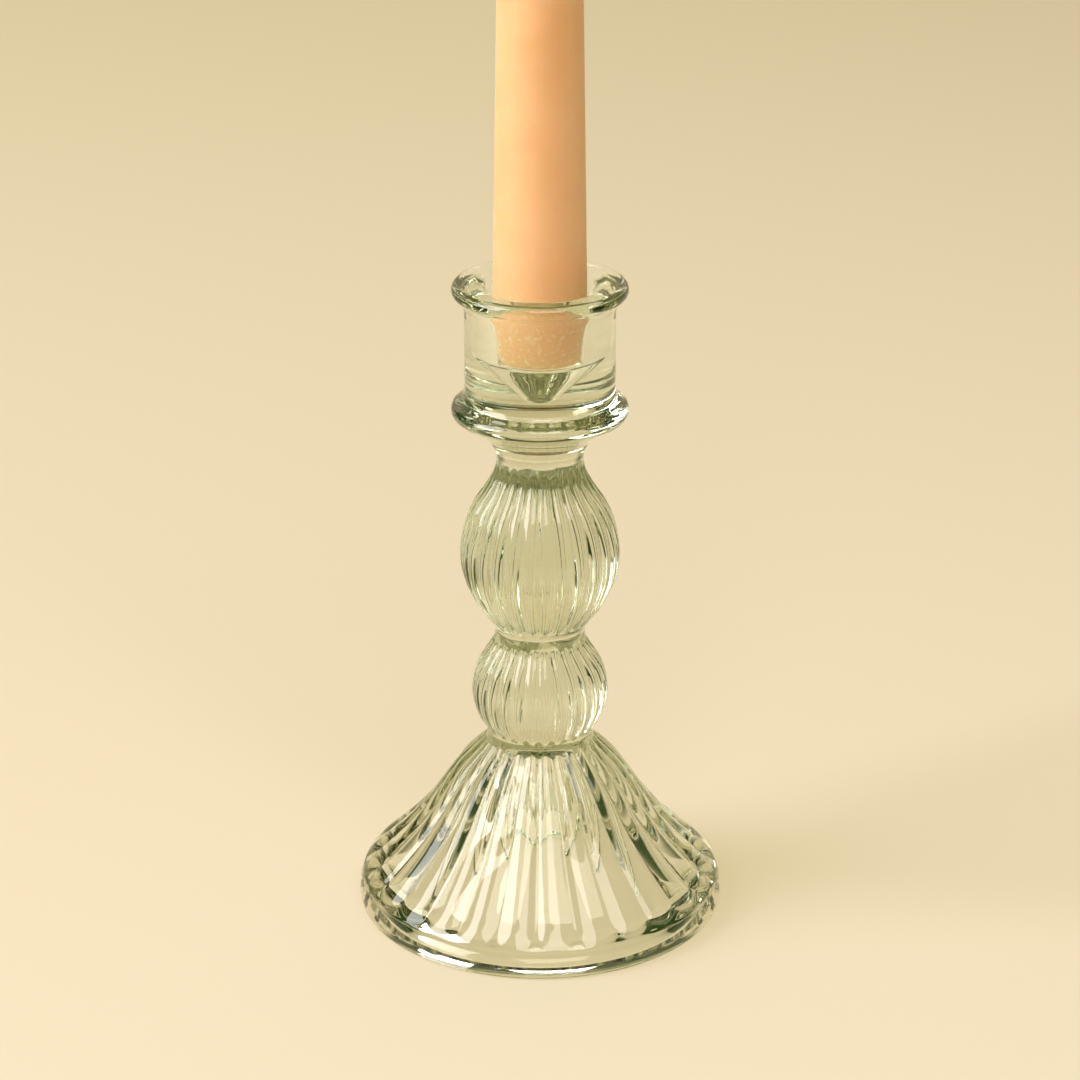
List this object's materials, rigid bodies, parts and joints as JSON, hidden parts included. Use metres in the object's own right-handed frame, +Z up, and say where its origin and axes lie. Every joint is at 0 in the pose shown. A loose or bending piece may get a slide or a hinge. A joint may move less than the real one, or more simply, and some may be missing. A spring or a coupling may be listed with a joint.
{
  "type": "glass candlestick",
  "caption": "Pale green pressed-glass candlestick with a ribbed bell foot, two ribbed knops, a drip ring and a flared cup holding a taper candle.",
  "frame": {"origin": "centre of the flat ring that the foot rests on, at table height", "axes": "+Z up along the axis that every piece is turned about, towards the candle's wick; +X and +Y lie in the table's plane"},
  "size_m": [0.091, 0.091, 0.4043],
  "materials": {
    "green_glass": "fire-polished clear glass with a pale green tint",
    "peach_wax": "satin translucent candle wax",
    "wick_cotton": "waxed braided cotton"
  },
  "bodies": {
    "holder": {"foot": "green_glass", "foot_collar": "green_glass", "lower_knop": "green_glass", "waist_collar": "green_glass", "upper_knop": "green_glass", "neck_collar": "green_glass", "cup_base": "green_glass", "cup_wall": "green_glass", "cup_lip": "green_glass", "drip_ring": "green_glass"},
    "taper": {"candle": "peach_wax", "wick": "wick_cotton"}
  },
  "joints": [
    {"name": "candle_lift", "type": "slide", "parent": "holder", "child": "taper", "axis": [0, 0, 1], "range_m": [0, 0.03]}
  ]
}
